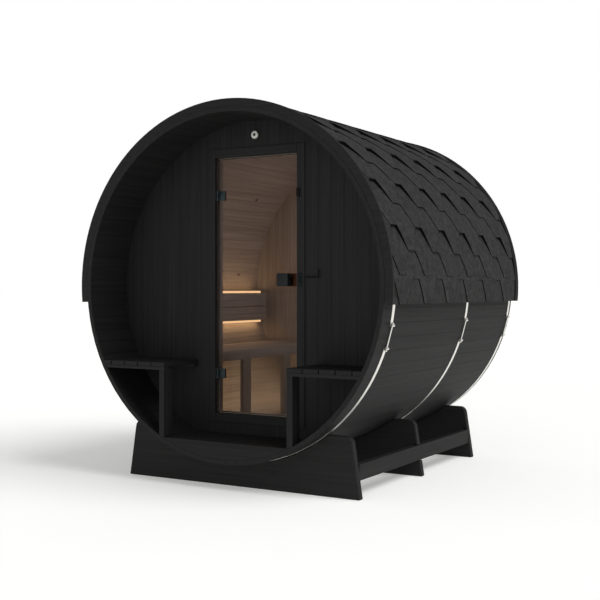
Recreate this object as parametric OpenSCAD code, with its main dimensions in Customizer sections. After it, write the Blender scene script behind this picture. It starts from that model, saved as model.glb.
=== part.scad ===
// Barrel sauna with a covered porch: stave barrel on three cradles, shingled
// half-round roof, steel hoops, glass door, porch benches and a cabin bench.
// X = 0 is the barrel's middle, Y = 0 its mid-length, Z = 0 the ground.
// The porch faces -Y. All lengths are in millimetres.

/* [Barrel] */
// Outer diameter of the stave barrel
barrel_d = 2100; // [2060:10:2300]
// Length of the barrel, front to rear
barrel_len = 2050; // [2000:10:3000]
// Thickness of the staves
stave_t = 28; // [24:1:34]
// Height of the barrel's underside above the ground
under_gap = 150; // [140:5:210]

/* [Roof] */
// How far the shingled roof stands out from the staves
roof_over = 49; // [35:1:60]
// How far the roof's lower edges lie below the barrel's axis
roof_drop = 100; // [60:5:140]
// Length of the plain board arc at each end of the roof
roof_trim_len = 18; // [12:2:40]

/* [Cradles] */
// Thickness of each cradle plank
cradle_t = 45; // [38:1:60]
// Distance between neighbouring cradles
cradle_pitch = 855; // [830:5:900]
// Height of the cradles
cradle_h = 352; // [320:2:370]
// Width of a cradle at the ground
cradle_base_w = 1648; // [1600:4:1760]
// Width of a cradle at its top, before the corners are rounded
cradle_top_w = 1540; // [1500:4:1580]
// Radius of the cradle's upper corners
cradle_corner_r = 45; // [30:1:60]
// Thickness of the side rails
rail_t = 45; // [38:1:50]
// Height of the side rails
rail_h = 95; // [80:1:110]
// Height of the side rails above the ground
rail_z = 100; // [60:5:120]
// Distance between the outer faces of the side rails
rail_span = 1600; // [1580:4:1620]

/* [Hoops] */
// Width of the steel band
band_w = 30; // [25:1:40]
// Thickness of the steel band
band_t = 1.5; // [1:0.1:2]
// Front hoop's distance from the front end
hoop_front_inset = 125; // [110:1:128]
// Middle hoop's distance behind the barrel's middle
hoop_mid_offset = 187; // [150:1:260]
// Rear hoop's distance from the rear end
hoop_rear_inset = 44; // [30:1:60]
// Angle of the upper lugs below the axis
lug_upper_a = 11.8; // [11:0.1:14]
// Angle of the lower lugs below the axis
lug_lower_a = 19; // [18:0.1:22]
// Diameter of the tension rods
rod_d = 8; // [6:1:8]

/* [Walls and floor] */
// Depth of the open porch
porch_depth = 350; // [330:5:450]
// Thickness of the front wall
wall_t = 45; // [40:1:55]
// Thickness of the rear wall
rear_wall_t = 40; // [28:1:50]
// How far the rear wall stands in from the rear end
rear_inset = 60; // [40:5:100]
// Height of the floor over the lowest stave
floor_rise = 103; // [90:1:120]
// Thickness of the floor boards
floor_t = 28; // [20:1:32]

/* [Door] */
// Width of the glass
glass_w = 586; // [560:2:600]
// Height of the glass
glass_h = 1590; // [1500:2:1600]
// Thickness of the glass
glass_t = 8; // [6:1:10]
// Gap between the glass and its frame
glass_gap = 5.5; // [5.5:0.5:7]
// Width of the frame's members
frame_w = 55; // [48:1:60]
// Depth of the frame's members
frame_depth = 44; // [40:1:46]
// How far the frame stands out of the front wall
frame_proud = 6; // [2:1:12]
// How far the glass lies behind the frame's front
glass_recess = 21; // [20:1:22]
// Height of the frame's foot over the floor
sill_rise = 67; // [50:1:75]
// Size of the square handle blocks
handle_size = 79; // [60:1:90]
// Handle's height above the floor
handle_rise = 956; // [900:2:1050]
// Width and height of the hinge clamps
hinge_size = 60; // [50:1:70]

/* [Porch benches] */
// Height of the porch seats above the floor
porch_seat_rise = 454; // [430:2:480]
// Thickness of the porch seat boards
porch_seat_t = 26; // [22:1:32]
// Clear width between the two porch seats
porch_gap_w = 870; // [840:2:890]
// Width of the porch seat boards
porch_board_w = 99; // [80:1:120]
// Gap between seat boards
board_gap = 6; // [3:0.5:10]

/* [Cabin bench] */
// Height of the cabin seat above the floor
bench_rise = 489; // [460:1:520]
// Distance from the barrel's middle to the seat's front edge
bench_edge_x = 400; // [380:2:440]
// Number of boards in the cabin seat
bench_boards = 5; // [4:1:6]
// Height of the backrest's lower edge above the floor
back_rise = 659; // [640:1:680]
// Height of one backrest board
back_board_h = 101; // [90:1:110]

/* [Hidden] */
$fn = 180;
fit = 0.3;          // clearance where a curved piece meets the staves
front = -barrel_len / 2;
rear = barrel_len / 2;
r_out = barrel_d / 2;
r_in = r_out - stave_t;
axis_h = r_out + under_gap;          // height of the barrel's axis
r_room = r_in - fit;          // what stands inside the barrel ends here
r_roof = r_out + roof_over;
r_roof_in = r_out + fit;          // the roof lies on the staves, grooved over the hoops
roof_a = asin(roof_drop / ((r_roof + r_roof_in) / 2));
floor_z = axis_h - r_in + floor_rise;
wall_y = front + porch_depth;
cabin_y = wall_y + wall_t;
rear_wall_y = rear - rear_inset - rear_wall_t;
frame_y = wall_y - frame_proud;
frame_z = floor_z + sill_rise;
open_w = glass_w + 2 * glass_gap;
open_h = glass_h + 2 * glass_gap;
open_z = frame_z + frame_w;
frame_out_w = open_w + 2 * frame_w;
frame_out_h = open_h + 2 * frame_w;
glass_y = frame_y + glass_recess;
glass_back = glass_y + glass_t;
// natural wood lining behind the frame
lining_lip = 8;          // how far the lining reaches past the frame's opening
lining_y = frame_y + frame_depth;
lining_depth = 32;
// hinges
pivot_x = -glass_w / 2 + 8;
pivot_y = glass_y - 12;
knuckle_r = 6;
knuckle_gap = 0.6;          // between the knuckles that turn and those that don't
pin_r = 2.5;
pin_gap = 0.1;
plate_t = 5;
jamb_leaf_t = 2.5;
jamb_leaf_depth = 15;
hinge_z = [open_z + 248, open_z + 1364];          // middles of the lower and upper hinge
leaf_knuckle_h = (hinge_size - 30) / 2;
// handle, strike plate, bumper, hook and vent
handle_inset = 80;          // handle's middle to the glass's closing edge
handle_x = glass_w / 2 - handle_inset;
handle_neck_d = 24;
handle_neck = 15;
handle_t = 35;
handle_z = floor_z + handle_rise;
strike_w = 26;
strike_h = 84;
strike_t = 3;
bumper_w = 22;
bumper_h = 52;
bumper_t = 8;
bumper_z = floor_z + 1454;
hook_len = 100;
hook_rise = 48;
hook_d = 7;
hook_out = 14;
hook_z = floor_z + 972;
vent_d = 60;
vent_t = 14;
vent_z = frame_z + frame_out_h + 71;
// porch benches
seat_z = floor_z + porch_seat_rise;
post_w = 38;
post_depth = 85;
bearer_w = 45;
bearer_h = 20;
seat_back_gap = 3;          // between the seat boards and the front wall
seat_reach = sqrt(pow(r_room, 2) - pow(axis_h - seat_z + porch_seat_t, 2));
seat_sliver = 15;          // narrowest strip of board left against the staves
// cabin bench
bench_z = floor_z + bench_rise;
bench_board_t = 28;
bench_rail_h = 62;
bench_rail_t = 28;
bench_leg_w = 92;
bench_leg_pitch = 515;
bench_end_gap = 6;          // between the bench and the end walls
bench_cleat = 40;
// backrest and its lights
back_z = floor_z + back_rise;
back_t = 28;
back_gap = 8;
back_x = 905;          // front face, measured from the barrel's middle
back_len = rear_wall_y - cabin_y - 100;
bracket_w = 40;
strip_h = 16;
strip_t = 16;
strip_end = 60;          // the lights stop this far short of the boards' ends
// tension lugs
hoop_y = [front + hoop_front_inset, hoop_mid_offset, rear - hoop_rear_inset];
lug_r = 8;
lug_sink = 1;          // how deep the lug's tube is let into the band
lug_side = 2;          // how far the lug stands out past each edge of the band
rod_r = r_out + fit + band_t + lug_r - lug_sink;          // radius on which the rods lie
nut_across = 12;
nut_t = 6;
rod_end = 16;
rod_half = rod_r * sin((lug_lower_a - lug_upper_a) / 2) + rod_end;

// A length of shell that bends round the barrel's axis
module arc_wall(r_from, r_to, y_from, y_to, a_from, a_to) {
    translate([0, y_to, axis_h])
        rotate([90, 0, 0])
            rotate_extrude(angle = a_to - a_from, start = a_from)
                translate([r_from, 0])
                    square([r_to - r_from, y_to - y_from]);
}

// A solid round on the barrel's axis
module disc(r, y_from, y_to) {
    translate([0, y_to, axis_h])
        rotate([90, 0, 0])
            cylinder(h = y_to - y_from, r = r);
}

// A box given by its two corners
module span_box(low, high) {
    translate(low)
        cube(high - low);
}

// A box whose far side is scribed to the inside of the staves
module scribed_box(low, high) {
    intersection() {
        span_box(low, high);
        disc(r_room, front, rear);
    }
}

module mirrored_pair() {
    children();
    mirror([1, 0, 0])
        children();
}

// Places its children on the barrel's surface at an angle above the axis, with X outwards
module at_angle(r, y, a) {
    translate([r * cos(a), y, axis_h + r * sin(a)])
        rotate([0, -a, 0])
            children();
}

// Barrel: eight curved walls of staves, each an eighth of the circle
module barrel_wall(a_from) {
    color("#2e2e2e")
        arc_wall(r_in, r_out, front, rear, a_from, a_from + 45);
}

module barrel_top_left() barrel_wall(90);
module barrel_top_right() barrel_wall(45);
module barrel_shoulder_left() barrel_wall(135);
module barrel_shoulder_right() barrel_wall(0);
module barrel_flank_left() barrel_wall(180);
module barrel_flank_right() barrel_wall(-45);
module barrel_belly_left() barrel_wall(225);
module barrel_belly_right() barrel_wall(-90);

// Roof: a half-round shell on the staves, closed at each end by an arc of board
module roof_arc(y_from, y_to, a_from, a_to) {
    difference() {
        arc_wall(r_roof_in, r_roof, y_from, y_to, a_from, a_to);
        for (y = hoop_y)
            disc(r_roof_in + band_t + fit, y - band_w / 2 - fit, y + band_w / 2 + fit);
    }
}

module roof_half(a_from, a_to) {
    color("#3b3b3b")
        roof_arc(front + roof_trim_len, rear - roof_trim_len, a_from, a_to);
}

module roof_left() roof_half(90, 180 + roof_a);
module roof_right() roof_half(-roof_a, 90);

module roof_trims() {
    color("#262626") {
        roof_arc(front, front + roof_trim_len, -roof_a, 180 + roof_a);
        roof_arc(rear - roof_trim_len, rear, -roof_a, 180 + roof_a);
    }
}

// Outline of a cradle, with its upper corners rounded
corner_lean = atan((cradle_base_w - cradle_top_w) / 2 / cradle_h);
corner_x = cradle_base_w / 2 - (cradle_h - cradle_corner_r) * tan(corner_lean)
           - cradle_corner_r / cos(corner_lean);
corner_steps = 9;
function corner_arc(i) = let (a = 90 - i * (90 - corner_lean) / corner_steps)
    [corner_x + cradle_corner_r * cos(a), cradle_h - cradle_corner_r + cradle_corner_r * sin(a)];
half_outline = concat([[0, 0], [0, cradle_h]],
                      [for (i = [0 : corner_steps]) corner_arc(i)],
                      [[cradle_base_w / 2, 0]]);

module cradle(y) {
    color("#202020")
        difference() {
            mirrored_pair()
                translate([0, y + cradle_t / 2, 0])
                    rotate([90, 0, 0])
                        linear_extrude(cradle_t)
                            polygon(half_outline);
            disc(r_out + fit, y - cradle_t, y + cradle_t);
        }
}

module cradle_front() cradle(-cradle_pitch);

module cradle_middle() {
    difference() {
        cradle(0);
        mirrored_pair()
            span_box([rail_span / 2 - rail_t, -cradle_t, rail_z],
                     [cradle_base_w, cradle_t, rail_z + rail_h]);
    }
}

module cradle_rear() cradle(cradle_pitch);

module side_rails() {
    rail_end = cradle_pitch - cradle_t / 2;
    color("#2a2a2a")
        mirrored_pair()
            span_box([rail_span / 2 - rail_t, -rail_end, rail_z],
                     [rail_span / 2, rail_end, rail_z + rail_h]);
}

// Hoops: an upper and a lower steel band, drawn together by a rod on each side
module band(y, a_from, a_to) {
    band_r = r_out + fit;
    difference() {
        union() {
            arc_wall(band_r, band_r + band_t, y - band_w / 2, y + band_w / 2, a_from, a_to);
            for (a = [a_from, a_to])
                at_angle(rod_r, y, a)
                    rotate([90, 0, 0])
                        cylinder(h = band_w + 2 * lug_side, r = lug_r, center = true, $fn = 48);
        }
        for (side = [0, 1])
            mirror([side, 0, 0])
                tension_axis(y)
                    cylinder(h = 2 * (rod_half + rod_end), d = rod_d + 2 * fit, center = true, $fn = 48);
    }
}

// Places its children midway between two lugs, with Z along the rod
module tension_axis(y) {
    mid_a = -(lug_upper_a + lug_lower_a) / 2;
    half_a = (lug_lower_a - lug_upper_a) / 2;
    at_angle(rod_r * cos(half_a), y, mid_a)
        children();
}

module tension_rod(y) {
    tension_axis(y) {
        cylinder(h = 2 * rod_half, d = rod_d, center = true, $fn = 48);
        for (end = [-1, 1])
            translate([0, 0, end * (rod_half - rod_end + lug_r + fit + nut_t / 2)])
                cylinder(h = nut_t, d = nut_across / cos(30), center = true, $fn = 6);
    }
}

module hoop(y) {
    color("#e4e2da") {
        band(y, -lug_upper_a, 180 + lug_upper_a);
        band(y, 180 + lug_lower_a, 360 - lug_lower_a);
        mirrored_pair()
            tension_rod(y);
    }
}

module hoop_front() hoop(hoop_y[0]);
module hoop_middle() hoop(hoop_y[1]);
module hoop_rear() hoop(hoop_y[2]);

// Front wall, in four pieces round the doorway
module front_wall_side() {
    color("#1f1f1f")
        scribed_box([frame_out_w / 2, wall_y, axis_h - r_in], [r_in, cabin_y, axis_h + r_in]);
}

module front_wall_right() front_wall_side();
module front_wall_left() mirror([1, 0, 0]) front_wall_side();

module front_wall_top() {
    color("#1f1f1f")
        scribed_box([-frame_out_w / 2, wall_y, frame_z + frame_out_h],
                    [frame_out_w / 2, cabin_y, axis_h + r_in]);
}

module front_wall_sill() {
    color("#1f1f1f")
        scribed_box([-frame_out_w / 2, wall_y, axis_h - r_in],
                    [frame_out_w / 2, cabin_y, frame_z]);
}

module rear_wall() {
    color("#1f1f1f")
        disc(r_room, rear_wall_y, rear_wall_y + rear_wall_t);
}

// Floors: boards laid from stave to stave, and the board that closes the porch floor's front
module floor_boards(y_from, y_to) {
    scribed_box([-r_in, y_from, floor_z - floor_t], [r_in, y_to, floor_z]);
}

module cabin_floor() {
    color("#a8865e")
        floor_boards(cabin_y, rear_wall_y);
}

module porch_floor() {
    color("#242424")
        floor_boards(front + floor_t, wall_y);
}

module porch_fascia() {
    color("#252525")
        scribed_box([-r_in, front, axis_h - r_in], [r_in, front + floor_t, floor_z]);
}

// Porch benches: boards laid front to back on bearers, with a post at the open end
module porch_seat() {
    board_pitch = porch_board_w + board_gap;
    color("#262626")
        for (x_from = [porch_gap_w / 2 : board_pitch : seat_reach - seat_sliver])
            scribed_box([x_from, front, seat_z - porch_seat_t],
                        [x_from + porch_board_w, wall_y - seat_back_gap, seat_z]);
}

module porch_seat_right() porch_seat();
module porch_seat_left() mirror([1, 0, 0]) porch_seat();

module porch_posts() {
    color("#262626")
        mirrored_pair()
            scribed_box([porch_gap_w / 2, front, floor_z],
                        [porch_gap_w / 2 + post_w, front + post_depth,
                         seat_z - porch_seat_t - bearer_h]);
}

module porch_bearers() {
    bearer_top = seat_z - porch_seat_t;
    color("#252525")
        mirrored_pair()
            for (y = [front, wall_y - bearer_w])
                scribed_box([porch_gap_w / 2, y, bearer_top - bearer_h],
                            [r_in, y + bearer_w, bearer_top]);
}

// Doorway: black frame outside, natural wood lining inside
module door_frame() {
    color("#1c1c1c")
        difference() {
            span_box([-frame_out_w / 2, frame_y, frame_z],
                     [frame_out_w / 2, frame_y + frame_depth, frame_z + frame_out_h]);
            span_box([-open_w / 2, frame_y - 1, open_z],
                     [open_w / 2, frame_y + frame_depth + 1, open_z + open_h]);
        }
}

module door_lining() {
    color("#a8865e")
        difference() {
            span_box([-frame_out_w / 2, lining_y, frame_z],
                     [frame_out_w / 2, lining_y + lining_depth, frame_z + frame_out_h]);
            span_box([-open_w / 2 + lining_lip, lining_y - 1, open_z + lining_lip],
                     [open_w / 2 - lining_lip, lining_y + lining_depth + 1,
                      open_z + open_h - lining_lip]);
        }
}

module door_glass() {
    color("#6b4f3a", 0.45)
        span_box([-glass_w / 2, glass_y, open_z + glass_gap],
                 [glass_w / 2, glass_back, open_z + glass_gap + glass_h]);
}

// Hinges: a leaf on the jamb carries the pin, and a clamp on the glass turns on it
module hinge_leaves() {
    color("#b9bcc0")
        for (z = hinge_z) {
            difference() {
                union() {
                    span_box([-open_w / 2, pivot_y - jamb_leaf_depth / 2, z - hinge_size / 2],
                             [-open_w / 2 + jamb_leaf_t, pivot_y + jamb_leaf_depth / 2,
                              z + hinge_size / 2]);
                    span_box([-open_w / 2, pivot_y - jamb_leaf_t, z - hinge_size / 2],
                             [pivot_x, pivot_y + jamb_leaf_t, z + hinge_size / 2]);
                    translate([pivot_x, pivot_y, z - hinge_size / 2])
                        cylinder(h = hinge_size, r = knuckle_r, $fn = 48);
                }
                span_box([-open_w / 2 + jamb_leaf_t, pivot_y - 2 * knuckle_r,
                          z - hinge_size / 2 + leaf_knuckle_h],
                         [pivot_x + 2 * knuckle_r, pivot_y + 2 * knuckle_r,
                          z + hinge_size / 2 - leaf_knuckle_h]);
            }
            translate([pivot_x, pivot_y, z - hinge_size / 2])
                cylinder(h = hinge_size, r = pin_r, $fn = 48);
        }
}

module hinge_clamps() {
    turn_h = hinge_size - 2 * (leaf_knuckle_h + knuckle_gap);
    color("#b9bcc0")
        for (z = hinge_z) {
            difference() {
                union() {
                    span_box([pivot_x, glass_y - plate_t, z - turn_h / 2],
                             [pivot_x + 2 * knuckle_r, glass_y, z + turn_h / 2]);
                    span_box([pivot_x + knuckle_r + 2, glass_y - plate_t, z - hinge_size / 2],
                             [pivot_x + hinge_size - 10, glass_y, z + hinge_size / 2]);
                    span_box([pivot_x, pivot_y, z - turn_h / 2],
                             [pivot_x + knuckle_r, glass_y, z + turn_h / 2]);
                    translate([pivot_x, pivot_y, z - turn_h / 2])
                        cylinder(h = turn_h, r = knuckle_r, $fn = 48);
                }
                translate([pivot_x, pivot_y, z - hinge_size])
                    cylinder(h = 2 * hinge_size, r = pin_r + pin_gap, $fn = 48);
            }
            span_box([pivot_x + knuckle_r + 2, glass_back, z - hinge_size / 2],
                     [pivot_x + hinge_size - 10, glass_back + plate_t - 1, z + hinge_size / 2]);
        }
}

// Handles: a dark block outside and a natural wood block inside, on short necks
module handle_block() {
    translate([handle_x, 0, handle_z])
        rotate([90, 0, 0])
            cylinder(h = handle_neck, d = handle_neck_d, $fn = 48);
    span_box([handle_x - handle_size / 2, -handle_neck - handle_t, handle_z - handle_size / 2],
             [handle_x + handle_size / 2, -handle_neck, handle_z + handle_size / 2]);
}

module handle_outer() {
    color("#232a2c")
        translate([0, glass_y, 0])
            handle_block();
}

module handle_inner() {
    color("#7a4a24")
        translate([0, glass_back, 0])
            mirror([0, 1, 0])
                handle_block();
}

module strike_plate() {
    mid_x = open_w / 2 + 27;
    color("#8d9194")
        span_box([mid_x - strike_w / 2, frame_y - strike_t, handle_z - strike_h / 2],
                 [mid_x + strike_w / 2, frame_y, handle_z + strike_h / 2]);
}

module bumper_clip() {
    color("#3a3d40")
        span_box([open_w / 2 + 1, frame_y - bumper_t, bumper_z],
                 [open_w / 2 + 1 + bumper_w, frame_y, bumper_z + bumper_h]);
}

// Hook: a bent rod that stands off the front wall beside the door
module door_hook() {
    hook_x = frame_out_w / 2 + 4;
    hook_y = wall_y - hook_out;
    color("#141414") {
        translate([hook_x + hook_d / 2, wall_y, hook_z])
            rotate([90, 0, 0])
                cylinder(h = hook_out + hook_d / 2, d = hook_d, $fn = 32);
        translate([hook_x, hook_y, hook_z])
            rotate([0, 90, 0])
                cylinder(h = hook_len, d = hook_d, $fn = 32);
        translate([hook_x + hook_len - hook_d / 2, hook_y, hook_z - hook_d / 2])
            cylinder(h = hook_rise + hook_d / 2, d = hook_d, $fn = 32);
    }
}

module vent_cap() {
    color("#dcdcd8")
        translate([0, wall_y, vent_z])
            rotate([90, 0, 0]) {
                cylinder(h = vent_t / 2, d = vent_d, $fn = 72);
                cylinder(h = vent_t, d = vent_d - 16, $fn = 72);
            }
}

// Cabin bench on the left: long boards over a frame on legs
lining_overlaps = frame_out_w / 2 > bench_edge_x;          // a wide lining reaches in front of the bench
bench_from = (lining_overlaps ? lining_y + lining_depth : cabin_y) + bench_end_gap;
bench_to = rear_wall_y - bench_end_gap;

module bench_seat() {
    depth = sqrt(pow(r_in, 2) - pow(axis_h - bench_z + bench_board_t, 2)) - bench_edge_x;
    board_w = (depth - (bench_boards - 1) * board_gap) / bench_boards;
    color("#a8865e")
        for (i = [0 : bench_boards - 1]) {
            x_from = -bench_edge_x - (i + 1) * board_w - i * board_gap;
            scribed_box([x_from, bench_from, bench_z - bench_board_t],
                        [x_from + board_w, bench_to, bench_z]);
        }
}

module bench_frame() {
    rail_top = bench_z - bench_board_t;
    leg_back = -bench_edge_x - bench_rail_t;
    last_leg = bench_to - bench_leg_w;
    color("#a07e57") {
        span_box([leg_back, bench_from, bench_z - bench_rail_h],
                 [-bench_edge_x, bench_to, rail_top]);
        for (y = concat([bench_from], [for (i = [0 : 2]) last_leg - i * bench_leg_pitch])) {
            scribed_box([leg_back, y, floor_z], [-bench_edge_x, y + bench_leg_w,
                                                 bench_z - bench_rail_h]);
            scribed_box([-r_in, y, rail_top - bench_cleat],
                        [leg_back, y + bench_cleat, rail_top]);
        }
    }
}

// Backrest: two boards held off the wall, lit along their upper and lower edges
module backrest() {
    y_from = cabin_y + 50;
    color("#a8865e") {
        for (i = [0, 1])
            span_box([-back_x - back_t, y_from, back_z + i * (back_board_h + back_gap)],
                     [-back_x, y_from + back_len,
                      back_z + i * (back_board_h + back_gap) + back_board_h]);
        for (i = [0 : 2])
            scribed_box([-r_in, y_from + 80 + i * (back_len - 160 - bracket_w) / 2, back_z + 20],
                        [-back_x - back_t,
                         y_from + 80 + bracket_w + i * (back_len - 160 - bracket_w) / 2,
                         back_z + 2 * back_board_h - 20]);
    }
}

module light_strips() {
    y_from = cabin_y + 50;
    strips_x = -back_x - back_t;
    back_top = back_z + 2 * back_board_h + back_gap;
    color("#ffc98a")
        for (z = [back_z - strip_h, back_top])
            span_box([strips_x, y_from, z],
                     [strips_x + strip_t, y_from + back_len - strip_end, z + strip_h]);
}

barrel_top_left();
barrel_top_right();
barrel_shoulder_left();
barrel_shoulder_right();
barrel_flank_left();
barrel_flank_right();
barrel_belly_left();
barrel_belly_right();
roof_left();
roof_right();
roof_trims();
cradle_front();
cradle_middle();
cradle_rear();
side_rails();
hoop_front();
hoop_middle();
hoop_rear();
front_wall_left();
front_wall_right();
front_wall_top();
front_wall_sill();
rear_wall();
cabin_floor();
porch_floor();
porch_fascia();
porch_seat_left();
porch_seat_right();
porch_posts();
porch_bearers();
door_frame();
door_lining();
door_glass();
hinge_leaves();
hinge_clamps();
handle_outer();
handle_inner();
strike_plate();
bumper_clip();
door_hook();
vent_cap();
bench_seat();
bench_frame();
backrest();
light_strips();
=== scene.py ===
# Barrel sauna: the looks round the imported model. All lengths are in metres, in the model's frame.
# X = 0 is the barrel's middle, Y = 0 its mid-length, Z = 0 the ground, and the porch faces -Y.
import math
import random
import bmesh
import bpy
from mathutils import Matrix, Vector


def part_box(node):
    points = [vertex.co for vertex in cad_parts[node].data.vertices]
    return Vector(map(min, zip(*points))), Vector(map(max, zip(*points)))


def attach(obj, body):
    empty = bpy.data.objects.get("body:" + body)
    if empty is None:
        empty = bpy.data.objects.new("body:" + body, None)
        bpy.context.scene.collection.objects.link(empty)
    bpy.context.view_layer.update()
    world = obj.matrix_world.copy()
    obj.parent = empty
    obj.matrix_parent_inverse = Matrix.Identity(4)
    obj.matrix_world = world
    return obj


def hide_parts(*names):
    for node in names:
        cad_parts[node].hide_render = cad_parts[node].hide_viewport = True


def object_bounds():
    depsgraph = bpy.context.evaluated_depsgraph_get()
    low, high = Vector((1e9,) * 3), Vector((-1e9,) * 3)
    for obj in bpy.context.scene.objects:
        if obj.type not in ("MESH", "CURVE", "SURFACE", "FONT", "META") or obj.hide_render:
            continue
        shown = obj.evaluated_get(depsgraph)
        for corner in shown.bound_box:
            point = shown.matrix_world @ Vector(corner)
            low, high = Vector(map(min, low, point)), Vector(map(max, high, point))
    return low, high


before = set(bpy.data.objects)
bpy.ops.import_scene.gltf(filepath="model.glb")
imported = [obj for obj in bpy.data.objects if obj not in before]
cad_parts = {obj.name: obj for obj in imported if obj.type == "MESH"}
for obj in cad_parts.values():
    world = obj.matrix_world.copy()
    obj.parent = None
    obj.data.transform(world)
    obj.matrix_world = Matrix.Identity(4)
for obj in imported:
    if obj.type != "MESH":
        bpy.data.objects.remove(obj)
cadLow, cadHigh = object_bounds()
mm = 0.001
print("frame loaded")

# Sizes that many pieces share, read from the frame
staveLow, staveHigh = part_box("barrel_shoulder_right")
roofLow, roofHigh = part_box("roof_trims")
wallLow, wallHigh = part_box("front_wall_right")
rearLow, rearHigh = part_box("rear_wall")
frameLow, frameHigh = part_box("door_frame")
barrel = {
    "axis": staveLow.z,
    "front": staveLow.y,
    "rear": staveHigh.y,
    "outer": staveHigh.x,
    "inner": staveLow.x / math.cos(math.radians(45)),
    "roof": roofHigh.z - staveLow.z,
    "room": rearHigh.x,
    "wallMiddle": (wallLow.y + wallHigh.y) / 2,
    "rearMiddle": (rearLow.y + rearHigh.y) / 2,
}
axisPoint = Vector((0, 0, barrel["axis"]))
# how a copied mesh is cleaned and which corners count as sharp, in metres and degrees
making = {"weld": 0.02 * mm, "flat": 0.5, "corner": 30, "smooth": 35, "roundSides": 240,
          "thinnestBoard": 6 * mm}


def onlySelect(*pieces):
    bpy.ops.object.select_all(action="DESELECT")
    for piece in pieces:
        piece.select_set(True)
    bpy.context.view_layer.objects.active = pieces[0]


def applyPlace(piece):
    onlySelect(piece)
    bpy.ops.object.transform_apply(location=True, rotation=True, scale=True)


def editPiece(piece):
    onlySelect(piece)
    bpy.ops.object.mode_set(mode="EDIT")
    bpy.ops.mesh.select_all(action="SELECT")


def leaveEdit():
    bpy.ops.object.mode_set(mode="OBJECT")


# In edit mode: cuts the whole piece along a plane
def cutThrough(place, normal, **settings):
    bpy.ops.mesh.select_all(action="SELECT")
    bpy.ops.mesh.bisect(plane_co=place, plane_no=normal, **settings)


# In edit mode: pulls the selected part out by a distance
def pullOut(distance):
    bpy.ops.mesh.extrude_region_move(TRANSFORM_OT_translate={"value": distance})


# In edit mode: selects only the edges or faces whose middle passes the test
def pick(piece, kind, test):
    bpy.ops.mesh.select_mode(type=kind)
    bpy.ops.mesh.select_all(action="DESELECT")
    shape = bmesh.from_edit_mesh(piece.data)
    for part in {"EDGE": shape.edges, "FACE": shape.faces}[kind]:
        middle = sum((corner.co for corner in part.verts), Vector()) / len(part.verts)
        if test(middle, part):
            part.select_set(True)
    bmesh.update_edit_mesh(piece.data)


def useModifier(piece, kind, **settings):
    onlySelect(piece)
    modifier = piece.modifiers.new(kind.lower(), kind)
    for key, value in settings.items():
        setattr(modifier, key, value)
    bpy.ops.object.modifier_apply(modifier=modifier.name)


def copyPiece(piece, placing):
    twin = piece.copy()
    twin.data = piece.data.copy()
    twin.data.transform(placing)
    bpy.context.scene.collection.objects.link(twin)
    return twin


def mirrorPiece(piece):
    twin = copyPiece(piece, Matrix.Scale(-1, 4, (1, 0, 0)))
    editPiece(twin)
    bpy.ops.mesh.flip_normals()
    leaveEdit()
    return twin


def joinPieces(pieces):
    onlySelect(*pieces)
    if len(pieces) > 1:
        bpy.ops.object.join()
    return bpy.context.object


# A turn round the barrel's axis: a positive angle lifts the right side
def turnRound(degrees):
    return (Matrix.Translation(axisPoint) @ Matrix.Rotation(-math.radians(degrees), 4, "Y")
            @ Matrix.Translation(-axisPoint))


# Names a finished piece and gives it its body and the nodes it stands for
def settle(piece, name, body="sauna", replaces=()):
    applyPlace(piece)
    piece.name = name
    piece.data.name = name
    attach(piece, body)
    if replaces:
        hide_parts(*replaces)
    return piece


# A board between two corners, with its edges eased
def addBoard(low, high, ease, steps=2):
    low, high = Vector(low), Vector(high)
    bpy.ops.object.select_all(action="DESELECT")
    bpy.ops.mesh.primitive_cube_add(size=1, location=(low + high) / 2)
    board = bpy.context.object
    board.scale = high - low
    applyPlace(board)
    editPiece(board)
    bpy.ops.mesh.bevel(offset=ease, segments=steps, affect="EDGES")
    leaveEdit()
    return board


def easeCorners(piece, ease, steps=2):
    useModifier(piece, "BEVEL", width=ease, segments=steps, limit_method="ANGLE",
                angle_limit=math.radians(making["corner"]))


# A merged copy of a CAD node's mesh, with its sharp edges eased
def easedCopy(node, ease, steps=2):
    piece = bpy.data.objects.new(node + "Eased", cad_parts[node].data.copy())
    bpy.context.scene.collection.objects.link(piece)
    editPiece(piece)
    bpy.ops.mesh.remove_doubles(threshold=making["weld"])
    bpy.ops.mesh.dissolve_limited(angle_limit=math.radians(making["flat"]))
    leaveEdit()
    easeCorners(piece, ease, steps)
    return piece


# Keeps only the part of a piece that lies inside the barrel
def trimToBarrel(piece, radius):
    bpy.ops.object.select_all(action="DESELECT")
    bpy.ops.mesh.primitive_cylinder_add(vertices=making["roundSides"], radius=radius,
                                        depth=2 * (barrel["rear"] - barrel["front"]), location=axisPoint,
                                        rotation=(math.radians(90), 0, 0))
    cutter = bpy.context.object
    useModifier(piece, "BOOLEAN", object=cutter, operation="INTERSECT", solver="EXACT")
    bpy.data.objects.remove(cutter)


# Materials

def hexColour(text):
    channels = [int(text[i:i + 2], 16) / 255 for i in (1, 3, 5)]
    linear = [c / 12.92 if c <= 0.04045 else ((c + 0.055) / 1.055) ** 2.4 for c in channels]
    return (*linear, 1.0)


def newFinish(name):
    finish = bpy.data.materials.new(name)
    finish.use_nodes = True
    return finish, finish.node_tree.nodes["Principled BSDF"]


# Adds one node: settings are its sockets or properties, links lead from (node, output)
def addNode(finish, kind, settings=None, links=None):
    node = finish.node_tree.nodes.new(kind)
    for key, value in (settings or {}).items():
        if isinstance(key, int) or key in node.inputs:
            node.inputs[key].default_value = value
        else:
            setattr(node, key, value)
    for key, (source, output) in (links or {}).items():
        finish.node_tree.links.new(source.outputs[output], node.inputs[key])
    return node


def setSurface(finish, surface, settings, links=None):
    for key, value in settings.items():
        surface.inputs[key].default_value = value
    for key, (source, output) in (links or {}).items():
        finish.node_tree.links.new(source.outputs[output], surface.inputs[key])


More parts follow.
